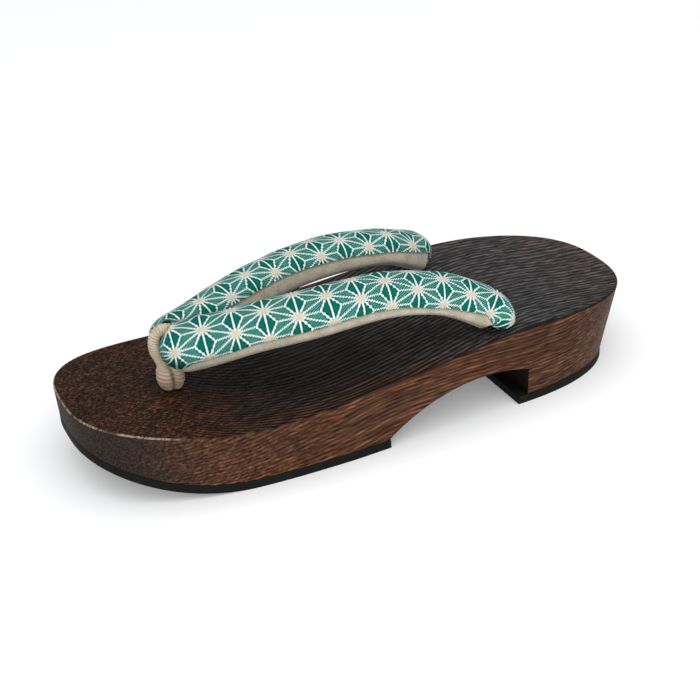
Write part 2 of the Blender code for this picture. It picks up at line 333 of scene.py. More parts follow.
def buildGrainGroup():
    group, given, out = newGroup(
        "brushedGrain",
        [("Vector", "NodeSocketVector", None), ("Wander", "NodeSocketFloat", 0.006),
         ("Ripple", "NodeSocketFloat", 0.0002)],
        [(name, "NodeSocketFloat") for name in ("Rings", "Fibre", "Lines", "Flecks", "Patches")])
    look = woodLook
    place = given["Vector"]

    # The grain wanders a little from side to side along the block
    push = wanderVector(group, stretched(group, place, (30, 16, 30)), 1.0, 2.0)
    bent = vectorMath(group, "ADD", place, scaled(group, push, given["Wander"]))

    # Growth rings round the heart, cut by the faces of the block. Towards the toe they turn
    # aslant.
    x, y, z = parts(group, bent)
    ahead = doMath(group, "MAXIMUM", y, 0.0)
    aslant = times(group, times(group, ahead, ahead), look["aslant"])
    bent = vectorMath(group, "ADD", bent, scaled(group, (1.6, 0.0, 1.27), aslant))
    dx = doMath(group, "SUBTRACT", x, look["heart"][0])
    dz = doMath(group, "SUBTRACT", z, look["heart"][1])
    radius = doMath(group, "SQRT", doMath(group, "ADD", times(group, dx, dx), times(group, dz, dz)))
    slow = noiseAt(group, stretched(group, place, (14, 9, 14)), 1.0, 1.0)
    radius = timesPlus(group, slow, look["ringWander"], doMath(group, "ADD", radius, aslant))
    across, along = look["ripples"]
    small = noiseAt(group, stretched(group, place, (across, along, across)), 1.0, 1.0)
    radius = doMath(group, "ADD", radius, times(group, small, given["Ripple"]))
    wave = doMath(group, "SINE", times(group, radius, 2 * math.pi / look["ringPitch"]))
    feed(group, out["Rings"], mapRange(group, wave, -0.9, 0.75))

    # Streaks of several sizes, drawn out along the grain
    streaks = [
        # output, shift of the noise, detail, roughness, distortion, low, high
        ("Fibre", (0.00, 0.0, 0.0), 1.0, 0.50, 0.0, 0.36, 0.64),
        ("Lines", (0.33, 0.4, 0.6), 0.0, 0.50, 0.0, 0.38, 0.62),
        ("Flecks", (0.30, 0.1, 0.2), 1.0, 0.50, 0.3, 0.38, 0.62),
        ("Patches", (0.70, 0.2, 0.4), 3.0, 0.60, 0.0, 0.32, 0.68),
    ]
    for name, shift, detail, rough, distortion, low, high in streaks:
        count, short = look[name.lower()]
        drawn = stretched(group, bent, (1.0, short, 1.0), shift)
        streak = noiseAt(group, drawn, count, detail, rough, distortion)
        feed(group, out[name], mapRange(group, streak, low, high))
    return group


grainGroup = buildGrainGroup()


def buildWoodMaterial():
    look, zone = woodLook, woodZones
    material, tree, shader = newMaterial("dark_brushed_wood", 0.42, Specular_IOR_Level=0.05,
                                         Coat_Roughness=0.34)
    coords = objectCoords(tree)
    x, y, _ = parts(tree, coords)
    _, forward, upward = parts(tree, objectCoords(tree, "Normal"))

    # Where on the block
    top = mapRange(tree, upward, *zone["top"])
    toe = mapRange(tree, y, *zone["toe"])
    heel = mapRange(tree, y, *zone["heel"])
    edge = mapRange(tree, doMath(tree, "ABSOLUTE", x), *zone["edge"])
    back = mapRange(tree, y, *zone["back"])
    wall = mapRange(tree, y, *zone["toeWallSheen"])
    ends = doMath(tree, "MAXIMUM", heel, toe)
    rimHigh = mapRange(tree, upward, *zone["rimHigh"])
    rim = times(tree, mapRange(tree, upward, *zone["rimLow"]), rimHigh)

    def byZone(values):
        # A value for the middle, the heel and the toe, blended from one to the next
        return blendValues(tree, toe, mapRange(tree, heel, 0.0, 1.0, *values[:2]), values[2])

    still, atHeel, atToe = look["rippleSize"]
    ripple = timesPlus(tree, heel, atHeel, timesPlus(tree, toe, atToe, still))
    grain = useGroup(tree, grainGroup, Vector=coords, Wander=look["wander"], Ripple=ripple)
    fine = blendValues(tree, 0.5, grain["Fibre"], grain["Flecks"])

    # Top face: charred dark in the middle, brown at the toe and along the edges, and a painted grey
    # reflection over the heel and waist
    patchy = timesPlus(tree, grain["Patches"], 0.7, times(tree, grain["Fibre"], 0.4))
    cast = noiseAt(tree, stretched(tree, coords, (90, 28, 90), (0.4, 0.7, 0.1)), 1.0, 2.0)
    brown = doMath(tree, "MAXIMUM", toe, times(tree, edge, look["edgeBrown"]))
    brown = times(tree, brown, mapRange(tree, patchy, 0.1, 0.9, 0.35, 1.0))
    topColour = blendColours(tree, brown, look["topDark"], look["topBrown"])
    heelReflectionAndBrown = blendColours(tree, doMath(tree, "MULTIPLY", back, patchy, clamp=True),
                            look["heelReflectionGrey"], look["heelBrown"])
    topColour = blendColours(tree, heel, topColour, heelReflectionAndBrown)
    broken = blendValues(tree, ends, grain["Lines"], grain["Flecks"])
    relief = blendValues(tree, mapRange(tree, toe, 0.0, 1.0, 0.38, 0.66), grain["Rings"], broken)
    # Grain tone, with the ridges lightened and the grooves darkened as painted highlight and shade
    contrast = timesPlus(tree, doMath(tree, "POWER", relief, 1.8), byZone(look["depth"]),
                         byZone(look["darkest"]))
    contrast = times(tree, contrast, timesPlus(tree, fine, 0.7, 0.65))
    topColour = scaled(tree, topColour, contrast)
    reddish = times(tree, mapRange(tree, cast, 0.45, 0.7), mapRange(tree, ends, 0.0, 1.0, 0.5, 0.2))
    topColour = blendColours(tree, reddish, topColour,
                             vectorMath(tree, "MULTIPLY", topColour, look["redCast"]))

    # Sides: warm brown with fine dark and golden streaks, and a painted grey reflection on the toe's end
    sideMix = timesPlus(tree, grain["Patches"], 0.15, times(tree, grain["Rings"], 0.30))
    sideMix = timesPlus(tree, fine, 0.52, sideMix)
    sideColour = colourRamp(tree, sideMix, [
        (0.10, look["sideDark"]), (0.42, look["sideBrown"]), (0.74, look["sideWarm"]),
        (1.0, look["sideGold"])])
    ruddy = vectorMath(tree, "MULTIPLY", sideColour, look["sideCast"])
    # Painted grey reflection of the bright room on the toe's end grain
    wallSheenTone = scaled(tree, look["toeWallSheen"], timesPlus(tree, grain["Fibre"], 0.9, 0.5))
    scratch = times(tree, mapRange(tree, grain["Lines"], 0.35, 0.0), look["scratchShare"])
    sideColour = layered(
        tree, sideColour, (times(tree, mapRange(tree, cast, 0.40, 0.68), 0.6), ruddy),
        (wall, wallSheenTone), (scratch, look["sideDark"]))

    # The rim is rubbed glossy round the toe, with a painted highlight along it, and stays dark round the
    # heel
    # Where the rim is rubbed glossy and painted with a highlight
    wornGlint = times(tree, mapRange(tree, upward, *zone["wornGlintLow"]), rimHigh)
    wornGlint = times(tree, wornGlint, mapRange(tree, y, *zone["wornGlintToe"]))
    wornGlint = times(tree, wornGlint, mapRange(tree, patchy, 0.35, 0.75, 0.15, 1.0))
    darkRim = times(tree, rim, mapRange(tree, y, *zone["darkRim"], 0.15, 0.85))
    # Painted shade on the underside and on the heel's front wall under the waist
    arch = times(tree, mapRange(tree, forward, *zone["ahead"]), mapRange(tree, y, *zone["behindHeel"]))
    paintedUnderShade = doMath(tree, "MAXIMUM", mapRange(tree, upward, *zone["underside"]), arch)
    colour = layered(tree, sideColour, (top, topColour), (wornGlint, look["paintedRimGlint"]),
                     (darkRim, look["shade"]), (times(tree, paintedUnderShade, 0.9), look["shade"]))
    tree.links.new(colour, shader.inputs["Base Color"])

    rough = timesPlus(tree, grain["Fibre"], 0.18, 0.36)
    rough = timesPlus(tree, toe, 0.14, rough)
    tree.links.new(rough, shader.inputs["Roughness"])
    gloss = times(tree, top, mapRange(tree, y, *zone["glossFade"], *look["gloss"]))
    coat = timesPlus(tree, wornGlint, look["rimGloss"], times(tree, gloss, relief))
    tree.links.new(coat, shader.inputs["Coat Weight"])

    height = timesPlus(tree, fine, 0.5, relief)
    depth = mapRange(tree, top, 0.0, 1.0, look["reliefSide"], look["reliefTop"], "LINEAR")
    bumped(tree, shader, times(tree, height, depth))
    return material


woodMaterial = buildWoodMaterial()

baseSizes = {
    "length": 0.240,
    "ballHalf": 0.0474,
    "heelHalf": 0.0442,
    "toeCap": (0.0988, 2.8),          # length and power of the rounded toe
    "heelCap": (0.0698, 2.6),
    "sideLean": 0.0010,
    "toeLean": 0.0006,
    "heelLean": 0.0070,
    "height": 0.0347,
    "pad": 0.0038,
    "toeSpring": (0.0175, 0.060),     # rise, and how far back it starts
    "rim": 0.0008,
    "archRadius": 0.0713,
    "archCrest": (0.1575, 0.0187),    # from the toe, and over the floor
    "heelWall": 0.1785,
    "capSteps": 56,
    "waistSteps": 22,
    "loops": 26,
    "wallSteps": 8,
    "rimSteps": 5,
    "archSteps": 69,
    "cutSpare": 0.02,                 # how far the arch's cutter stands out at each side
    "creaseAngle": 38,                # degrees over which an edge stays sharp
}

topRows = [
    # run from the toe, height
    (0.00, 0.94),
    (0.25, 0.723),
    (0.50, 0.842),
    (0.73, 1.00),
    (1.00, 0.943),
]


def topZ(y):
    run = (baseSizes["length"] / 2 - np.atleast_1d(y)) / baseSizes["length"]
    return smoothThrough(topRows, run)[:, 0] * baseSizes["height"]


def springZ(y):
    rise, reach = baseSizes["toeSpring"]
    into = np.clip(reach - (baseSizes["length"] / 2 - np.atleast_1d(y)), 0, None) / reach
    return rise * into**2


def halfOutline(drawIn):
    s = baseSizes
    ball, heel = s["ballHalf"] - s["sideLean"] * drawIn, s["heelHalf"] - s["sideLean"] * drawIn
    toeLength, toePower = s["toeCap"]
    heelLength, heelPower = s["heelCap"]
    toeCentre = s["length"] / 2 - s["toeLean"] * drawIn - toeLength
    heelCentre = -s["length"] / 2 + s["heelLean"] * drawIn + heelLength
    a = np.linspace(0, math.pi / 2, s["capSteps"] + 1)
    sin, cos = np.sin(a), np.clip(np.cos(a), 0, None)
    toe = np.stack([ball * sin ** (2 / toePower), toeCentre + toeLength * cos ** (2 / toePower)], 1)
    share = np.linspace(0, 1, s["waistSteps"] + 1)[1:-1, None]
    waist = toe[-1] + (np.array([heel, heelCentre]) - toe[-1]) * share
    back = np.stack([heel * cos ** (2 / heelPower), heelCentre - heelLength * sin ** (2 / heelPower)], 1)
    return np.concatenate([toe, waist, back])


def fullOutline(drawIn):
    half = halfOutline(drawIn)
    return np.concatenate([half, half[-2:0:-1] * (-1, 1)])


def woodBlock():
    # Loops from the middle of the underside, out and up the wall, over the rim and in again
    s = baseSizes
    low, high = fullOutline(1.0), fullOutline(0.0)
    loops = []
    inward = np.linspace(0, 1, s["loops"] + 1)[1:]

    def ring(plan, z):
        loops.append(np.concatenate([plan, z[:, None]], 1))

    for share in inward:
        plan = low * share
        ring(plan, s["pad"] + springZ(plan[:, 1]))
    tangent = np.roll(high, -1, 0) - np.roll(high, 1, 0)
    normal = np.stack([-tangent[:, 1], tangent[:, 0]], 1)
    normal /= np.linalg.norm(normal, axis=1, keepdims=True)
    if (normal * high).sum() < 0:
        normal = -normal
    for share in np.linspace(0, 1, s["wallSteps"] + 1)[1:-1]:
        plan = low + (high - low) * share
        bottom = s["pad"] + springZ(low[:, 1])
        top = topZ(high[:, 1]) - s["rim"]
        ring(plan, bottom + (top - bottom) * share)
    for angle in np.linspace(0, math.pi / 2, s["rimSteps"] + 1):
        plan = high - normal * s["rim"] * (1 - math.cos(angle))
        ring(plan, topZ(high[:, 1]) - s["rim"] * (1 - math.sin(angle)))
    inner = high - normal * s["rim"]
    for share in (1 - inward[:-1]):
        plan = inner * share
        ring(plan, topZ(plan[:, 1]))

    bm = bmesh.new()
    rows = [[bm.verts.new(p) for p in loop] for loop in loops]
    joinRows(bm, rows)
    for row, z in ((rows[0], s["pad"]), (rows[-1], float(topZ(0.0)[0]))):
        centre = bm.verts.new((0, 0, z))
        for i in range(len(row)):
            bm.faces.new((row[i], row[(i + 1) % len(row)], centre))
    return bm


def prismAcross(name, profile):
    half = baseSizes["ballHalf"] + baseSizes["cutSpare"]
    bm = bmesh.new()
    left = [bm.verts.new((-half, y, z)) for y, z in profile]
    right = [bm.verts.new((half, y, z)) for y, z in profile]
    bm.faces.new(left)
    bm.faces.new(right)
    joinRows(bm, [left, right])
    return finishPiece(name, bm, woodMaterial)


def buildBase():
    s = baseSizes
    base = finishPiece("carved_base", woodBlock(), woodMaterial)
    crestY, wallY = s["length"] / 2 - s["archCrest"][0], s["length"] / 2 - s["heelWall"]
    below = -s["pad"]
    centreZ = s["archCrest"][1] - s["archRadius"]
    start = math.acos((below - centreZ) / s["archRadius"])
    end = -math.asin((crestY - wallY) / s["archRadius"])
    profile = [(crestY + s["archRadius"] * math.sin(a), centreZ + s["archRadius"] * math.cos(a))
               for a in np.linspace(start, end, s["archSteps"] + 1)]
    profile.append((wallY, below))
    cutter = prismAcross("archCutter", profile)
    cut = base.modifiers.new("arch", "BOOLEAN")
    cut.operation = "DIFFERENCE"
    cut.object = cutter
    bake(base)
    bpy.data.objects.remove(cutter, do_unlink=True)
    base.data.materials.clear()
    base.data.materials.append(woodMaterial)
    smoothExceptEdges(base.data, s["creaseAngle"])
    hold(base, "wood", "wooden_base")


buildBase()
print("base carved")

# Rubber pads

padSizes = {
    "forefootEnd": 0.1146,      # from the toe
    "heelStart": 0.1742,
    "gap": 0.0003,              # under the wood
    "round": 0.0007,
    "roundSteps": 3,
    "roundAngle": 50,           # degrees over which an edge is rounded
    "creaseAngle": 35,
    "grit": 0.00006,
    "black": (0.0032, 0.0029, 0.0030),
    "dust": (0.0070, 0.0064, 0.0064),
}


def buildRubberMaterial():
    material, tree, shader = newMaterial("black_rubber", 0.7, Specular_IOR_Level=0.12)
    coords = objectCoords(tree)
    fine = noiseAt(tree, coords, 2600.0, 3.0, 0.6)
    cloud = noiseAt(tree, coords, 120.0, 3.0, 0.6)
    colour = blendColours(tree, mapRange(tree, cloud, 0.35, 0.7), padSizes["black"], padSizes["dust"])
    tree.links.new(colour, shader.inputs["Base Color"])
    tree.links.new(timesPlus(tree, cloud, 0.3, 0.55), shader.inputs["Roughness"])
    bumped(tree, shader, times(tree, fine, padSizes["grit"]))
    return material


rubberMaterial = buildRubberMaterial()


def buildPad(name, node, yLow, yHigh):
    # The part of the sole's outline between two places along it, drawn down to the floor
    s = padSizes
    half = halfOutline(1.0)
    inside = half[(half[:, 1] > yLow) & (half[:, 1] < yHigh)]
    front, back = ([(float(np.interp(y, half[::-1, 1], half[::-1, 0])), y)] for y in (yHigh, yLow))
    if half[0, 1] > yHigh:
        inside = np.concatenate([front, inside])
    if half[-1, 1] < yLow:
        inside = np.concatenate([inside, back])
    bm = bmesh.new()
    thick = baseSizes["pad"] - s["gap"]
    stations = []
    for x, y in inside:
        z = float(springZ(y)[0])
        if x < tiny:
            bottom, top = bm.verts.new((0, y, z)), bm.verts.new((0, y, z + thick))
            stations.append((bottom, bottom, top, top))
        else:
            stations.append(tuple(bm.verts.new(p) for p in (
                (-x, y, z), (x, y, z), (x, y, z + thick), (-x, y, z + thick))))
    joinRows(bm, stations)
    for end in (stations[0], stations[-1]):
        if len(set(end)) == 4:
            bm.faces.new(end)
    pad = finishPiece(name, bm, rubberMaterial)
    bevel = pad.modifiers.new("edges", "BEVEL")
    bevel.width = s["round"]
    bevel.segments = s["roundSteps"]
    bevel.limit_method = "ANGLE"
    bevel.angle_limit = math.radians(s["roundAngle"])
    bake(pad)
    smoothExceptEdges(pad.data, s["creaseAngle"])
    hold(pad, "rubber", node)


toeY = baseSizes["length"] / 2
pastEnds = baseSizes["length"]
buildPad("forefoot_sole_pad", "forefoot_pad", toeY - padSizes["forefootEnd"], pastEnds)
buildPad("heel_sole_pad", "heel_pad", -pastEnds, toeY - padSizes["heelStart"])
print("pads done")

# Straps

strapSizes = {
    "noseY": toeY - 0.0385,
    "holeY": toeY - 0.1680,
    "holeHalf": 0.0350,
    "width": 0.0212,
    "dome": 0.0076,
    "lining": 0.0056,
    "rise": 0.0255,
    "noseLength": 0.0105,
    "fullness": 2.2,            # 2 is a plain half ellipse, and more is squarer
    "rollFullness": 2.9,        # the same for the lining's roll
    "innerSag": 0.35,           # how much deeper the lining hangs on the foot's side
    "seamLift": 0.11,           # radians that the outer seam climbs, over the front half
    "seamLevels": (0.50, 0.25),     # where it starts down again, and over what share
    "roll": 0.0008,             # how far the roll swells out under the cloth's edge
    "tuck": 0.0004,
    "tailWrap": (1.0, 0.010),   # radians that the cloth folds under at the tail, over a length
    "noseWrap": (0.5, 0.012),   # the same at the nose
    "sections": 230,
    "arc": 44,
    "underArc": 26,
    "seatGap": 0.0004,
    "pathSteps": 900,
    "endShare": 0.35,           # how far the sections crowd towards the two ends
    "liningWrap": 0.8,          # share of the cloth's fold that the lining gives way to
    "crowd": 0.10,              # how far the lining's points crowd towards its seams
    "rollReach": 0.55,
    "pressClear": (1.10, 0.0002),   # how clear of the cord the padding stays
    "pressFade": 0.0026,        # how far out the groove fades
    "meetGap": 0.00015,
    "meetSoft": 0.0010,
    "pucker": 0.00018,
    "puckerPitch": 0.0026,
    "puckerStray": (2.5, 0.017),    # how unevenly the puckers are spaced, and over what length
    "puckerWidth": 0.0022,
    "tailPucker": (2.2, 0.010),     # how much fuller they are at the tail, and over what length
    "nosePucker": (1.32, 0.008),
    "lumps": (0.012, 0.00035),  # size and height of the padding's lumps
    "stuffing": 400.0,          # pressure of the stuffing in the simulation
    "clothMass": 0.0015,
    "clothQuality": 6,
    "simulatedFrames": 12,
    "mostSwell": 0.0005,
    "heldRows": (14, 3),        # sections at the nose and the tail that it leaves alone
}

strapRows = [
    # back, spread, rise, tilt, width, depth, lining
    (0.004, 0.120, 0.70, 36, 0.90, 1.06, 1.10),
    (0.110, 0.195, 0.79, 24, 0.96, 1.03, 1.30),
    (0.265, 0.365, 0.95, 15, 1.00, 1.00, 1.35),
    (0.450, 0.548, 1.00, 15, 1.00, 1.00, 1.35),
    (0.660, 0.630, 0.94, 10, 1.00, 1.00, 1.22),
    (0.822, 0.700, 0.71, 11, 1.00, 1.00, 1.08),
    (0.940, 0.830, 0.44, 10, 0.96, 0.95, 1.52),
    (1.000, 0.960, 0.26, 8, 0.84, 0.85, 1.88),
    (1.014, 0.995, 0.02, 6, 0.68, 0.76, 0.80),
]

thongSizes = {
    "holeY": toeY - 0.0430,
    "radius": 0.0024,
    "halfGap": 0.0027,
    "height": 0.0245,
    "leg": 0.0090,
    "ribPitch": 0.00100,        # at full thickness, and wider on the lobes
    "ribSpread": 1.4,           # power of the thickness by which it widens
    "ribSize": 0.23,            # share of the cord's radius
    "core": 0.80,
    "points": 400,
    "sides": (24, 28, 8),       # of the core, of a rib's hoop and of its strand
    "ribTilt": 0.22,            # radians that the ribs lean, like a twisted cord
    "pressGap": 0.00016,        # from the seam where the two lobes press together
    "pressSoft": 0.0002,
    "lobeHeights": (0.6, 0.45, 0.2),    # shares of the height: pressed, spread, and fading over
    "lobeSpread": 1.16,         # they spread sideways as much as they flatten
    "lobeLean": 0.0017,         # and lean to the wearer's left
}

thongRows = [
    # ahead, up, thickness
    (0.60, 0.01, 0.90),
    (0.74, 0.08, 1.22),
    (0.84, 0.18, 1.42),
    (0.84, 0.30, 1.26),
    (0.90, 0.40, 0.88),
    (1.22, 0.53, 0.93),
    (1.60, 0.66, 1.00),
    (1.66, 0.81, 1.00),
    (1.25, 0.95, 1.00),
    (0.10, 1.00, 1.00),
    (-1.35, 0.93, 1.00),
    (-2.05, 0.78, 1.00),
    (-2.10, 0.62, 1.00),
    (-1.55, 0.50, 0.98),
    (-0.98, 0.41, 0.98),
    (-0.88, 0.30, 1.20),
    (-0.86, 0.18, 1.38),
    (-0.76, 0.08, 1.18),
    (-0.60, 0.01, 0.88),
]


def thongRoute():
    s = thongSizes
    surface = float(topZ(s["holeY"])[0])
    rows = [(i,) + row for i, row in enumerate(thongRows)]
    ahead, up, thick = smoothThrough(rows, np.linspace(0, len(rows) - 1, s["points"])).T
    route = np.stack([0 * ahead, s["holeY"] + ahead * s["halfGap"], surface + up * s["height"],
                      thick * s["radius"]], 1)
    feet = route[[0, -1]].copy()
    feet[:, 2] = surface - s["leg"]
    route = np.concatenate([feet[:1], route, feet[1:]])
    # One point for each rib
    steps = np.linalg.norm(np.diff(route[:, :3], axis=0), axis=1)
    thick = 0.5 * (route[1:, 3] + route[:-1, 3]) / s["radius"]
    ribs = steps / (s["ribPitch"] * thick ** s["ribSpread"])
    count = np.concatenate([[0], np.cumsum(ribs)])
    spots = np.linspace(0, count[-1], int(round(count[-1])) + 1)
    return np.stack([np.interp(spots, count, route[:, k]) for k in range(4)], 1)


def strapPath(side):
    # Middle, directions, sizes and swell of each section of one strap
    s = strapSizes
    rows = [(i,) + row for i, row in enumerate(strapRows)]
    columns = smoothThrough(rows, np.linspace(0, len(rows) - 1, s["pathSteps"]))
    y = s["noseY"] + (s["holeY"] - s["noseY"]) * columns[:, 0]
    middle = np.stack([columns[:, 1] * s["holeHalf"], y, topZ(y) + columns[:, 2] * s["rise"]], 1)
    along = pathLength(middle)
    share = np.linspace(0, math.pi, s["sections"])
    place = along[-1] * (s["endShare"] * (1 - np.cos(share)) / 2
                         + (1 - s["endShare"]) * share / math.pi)

    def at(where, values):
        return np.stack([np.interp(where, along, values[:, k]) for k in range(values.shape[1])], 1)

    centre = at(place, middle)
    step = 0.001
    run = at(place + step, middle) - at(place - step, middle)
    run /= np.linalg.norm(run, axis=1, keepdims=True)
    tilt, width, depth, lining = at(place, columns[:, 3:7]).T
    outward = np.array([1.0, 0, 0]) - run * run[:, :1]
    outward /= np.linalg.norm(outward, axis=1, keepdims=True)
    upward = np.cross(run, outward)
    angle = np.radians(tilt)[:, None]
    across = outward * np.cos(angle) - upward * np.sin(angle)
    crown = upward * np.cos(angle) + outward * np.sin(angle)
    swell = np.sqrt(np.clip(1 - (1 - np.minimum(1, place / s["noseLength"])) ** 2, 0, 1))
    for vectors in (centre, across, crown):
        vectors[:, 0] *= side
    return {"place": place, "centre": centre, "across": across, "crown": crown,
            "width": width, "depth": depth, "lining": lining, "swell": swell}


def settleOnBase(points):
    # Nothing sinks into the wood: low points rest just over it
    floor = topZ(points[:, 1]) + strapSizes["seatGap"]
    points[:, 2] = np.maximum(points[:, 2], floor)


def pressByThong(points, route):
    # The cord presses a soft groove into the padding
    path, radius = route[:, :3], route[:, 3]
    ratio, spare = strapSizes["pressClear"]
    fade = strapSizes["pressFade"]
    for i, point in enumerate(points):
        distance = np.sqrt(((path - point) ** 2).sum(1))
        k = int(distance.argmin())
        clear = radius[k] * ratio + spare
        reach = clear + fade
        if distance[k] < reach:
            wanted = clear + fade * (distance[k] / reach) ** (reach / fade)
            direction = (point - path[k]) / max(distance[k], tiny)
            points[i] = path[k] + direction * wanted


def meetInMiddle(points, side):
    # The two straps press against each other in the plane between them
    gap, soft = strapSizes["meetGap"], strapSizes["meetSoft"]
    x = points[:, 0] * side - gap
    points[:, 0] = side * (0.5 * (x + np.sqrt(x**2 + soft**2)) + gap)


def fitIn(points, side, route):
    # Each strap keeps to its own side, gives way to the cord and rests on the wood
    meetInMiddle(points, side)
    pressByThong(points, route)
    settleOnBase(points)


def lumps(points, seed):
    size, height = strapSizes["lumps"]
    return np.array([noise.noise(Vector(p) / size + Vector((seed, 0, 0))) for p in points]) * height


def ringShape(side, path, ringOf):
    # Points of every section, ringOf(i) giving across and up places of the section's points
    grid = []
    for i in range(len(path["place"])):
        a, b = ringOf(i)
        grid.append(path["centre"][i] + (path["across"][i] * a[:, None]
                                         + path["crown"][i] * b[:, None]) * path["swell"][i])
    return np.array(grid)


def endWrap(path):
    # How far the cloth folds under at the two ends, as an angle
    wrap = 0
    for fromEnd, key in ((path["place"][-1] - path["place"], "tailWrap"), (path["place"], "noseWrap")):
        angle, length = strapSizes[key]
        wrap = wrap + angle * easeIn(1 - fromEnd / length)
    return wrap


def seamLift(path):
    # How far the outer seam climbs over the widest line, as an angle
    start, length = strapSizes["seamLevels"]
    share = (path["place"] / path["place"][-1] - start) / length
    return strapSizes["seamLift"] * (1 - easeIn(share))


def section(path, i, angle, inset):
    # One closed section: a dome over the seams and a squarer roll under them
    s = strapSizes
    half = s["width"] * path["width"][i] / 2 - inset
    cos, sin = np.cos(angle), np.sin(angle)
    over = sin >= 0
    power = 2 / np.where(over, s["fullness"], s["rollFullness"])
    under = s["lining"] * path["lining"][i] * (1 + s["innerSag"] * np.clip(-cos, 0, 1))
    depth = np.where(over, s["dome"], under) * path["depth"][i] - inset
    return half * np.sign(cos) * np.abs(cos) ** power, depth * np.sign(sin) * np.abs(sin) ** power


def clothRing(path, i):
    wrap = endWrap(path)[i]
    angle = np.linspace(seamLift(path)[i] - wrap, math.pi + wrap, strapSizes["arc"] + 1)
    return section(path, i, angle, 0)


def liningRing(path, i):
    # The band starts a little inside the cloth's edge and rolls out to meet it
    s = strapSizes
    fold = s["liningWrap"] * endWrap(path)[i]
    start, end = math.pi + fold, 2 * math.pi - fold
    share = np.linspace(0, 1, s["underArc"] + 1)
    share = share - s["crowd"] * np.sin(2 * math.pi * share)
    angle = start + (end + seamLift(path)[i] - start) * share
    a, b = section(path, i, angle, s["tuck"])
    nearSeam = np.minimum(share, 1 - share) * 2
    roll = s["roll"] * np.sin(np.clip(nearSeam / s["rollReach"], 0, 1) * math.pi)
    return a + np.sign(a) * roll, b


def stitchUv(mesh, values):
    layer = mesh.uv_layers.new(name="cloth")
    spots = np.zeros((len(mesh.loops), 2), np.float32)
    index = np.zeros(len(mesh.loops), np.int32)
    mesh.loops.foreach_get("vertex_index", index)
    spots[:] = values[index]
    layer.data.foreach_set("uv", spots.ravel())


def gridPiece(name, grid, material, uv):
    # A sheet of quads with its own UV map
    bm = bmesh.new()
    joinRows(bm, [[bm.verts.new(point) for point in row] for row in grid], closed=False)
    piece = finishPiece(name, bm, material, outward=False)
    stitchUv(piece.data, uv.reshape(-1, 2))
    return piece


weaveLook = {
    "rowPitch": {-1: 0.0113, 1: 0.0114},       # star to star across each strap
    "columnStep": {-1: 0.01207, 1: 0.01138},   # from one column of stars to the next
    "firstColumn": {-1: 0.0087, 1: 0.0140},
    "firstRow": {-1: 0.00695, 1: 0.0001},
    "arcWidth": 0.0288,
    "noseLean": (0.14, 0.016),    # how far the print slants at the nose, and over what length
    "lineHalf": 0.027,        # half a line's width: this and the next are shares of the star pitch
    "lineSwell": (1.1, 0.92),     # its width beside the star and far from it
    "halo": 0.034,            # the dark ground beside each line
    "starRadius": 0.108,
    "starPoints": (0.050, 0.060),     # how wide and how far the star's colour runs along the rays
    "threads": 14,            # weft threads in one pitch
    "threadPull": 0.060,      # how far each thread shifts the print's edge
    "fray": (30.0, 0.045),    # the same for single fibres: how many, and how far
    "hatch": (82.0, 62.0),    # slant of the leaves' pale hatching, in radians across and along
    "teal": (0.001, 0.200, 0.140),
    "tealDark": (0.0005, 0.072, 0.055),
    "tealThread": (0.16, 0.44, 0.38),
    "tealCloud": (0.001, 0.085, 0.068),
    "mint": (0.52, 0.74, 0.69),
    "palest": (0.80, 0.90, 0.88),
    "star": (0.64, 0.58, 0.46),
    "starDark": (0.47, 0.40, 0.28),
    "haloShade": 0.27,
    "underZone": (0.15, -0.60),   # upward part of the normal where the cloth turns under
    "underShade": (0.75, 0.22),   # how much of it darkens, and to what share
    "relief": 0.00009,
}

liningLook = {
    "cream": (0.305, 0.265, 0.200),
    "pale": (0.425, 0.378, 0.295),
    "ribTone": (0.27, 0.24, 0.17),
    "fuzzTone": (0.62, 0.60, 0.50),
    # painted shade along the seams
    "seamShadeTone": (0.10, 0.080, 0.055),
    "underShadeTone": (0.105, 0.075, 0.055),
    "underZone": (-0.10, -0.80),  # upward part of the normal where the roll turns under, darkened as painted shade
    "ribs": (95.0, 7.0),          # radians in one pitch along the strap, and how far they stray
    "pitch": (0.0113, 0.0139),    # metres in one unit of the lining's UV map: across and along
    "relief": 0.00010,
}


